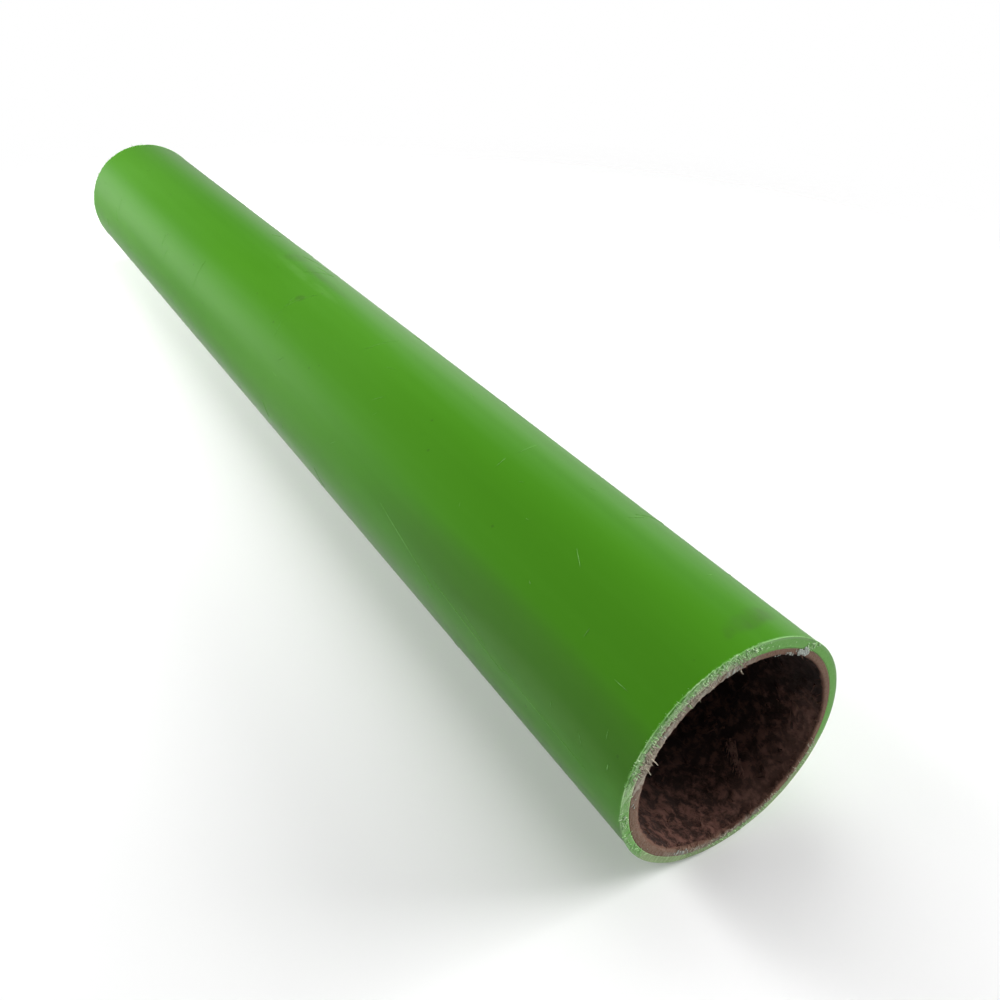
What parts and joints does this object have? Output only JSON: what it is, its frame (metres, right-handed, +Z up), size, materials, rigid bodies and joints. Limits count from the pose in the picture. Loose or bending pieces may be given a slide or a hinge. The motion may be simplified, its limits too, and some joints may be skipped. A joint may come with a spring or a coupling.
{
  "type": "tree guard tube",
  "caption": "Stiff round tree guard tube, open at both sawn ends: a smooth green plastic skin over a rough brown fibre-filled core.",
  "frame": {"origin": "on the ground under the middle of the tube, which lies on its side", "axes": "+Z up, +Y along the tube's axis, away from the open end that faces the viewer"},
  "size_m": [0.075, 0.6, 0.075],
  "materials": {
    "green_skin": "semi-gloss extruded plastic, dusty and lightly scratched, with pale scuffed edges",
    "brown_core": "rough fibre-filled plastic, saw-cut at the ends"
  },
  "bodies": {
    "root": {"outer_skin": "green_skin", "fibre_core": "brown_core"}
  },
  "joints": []
}
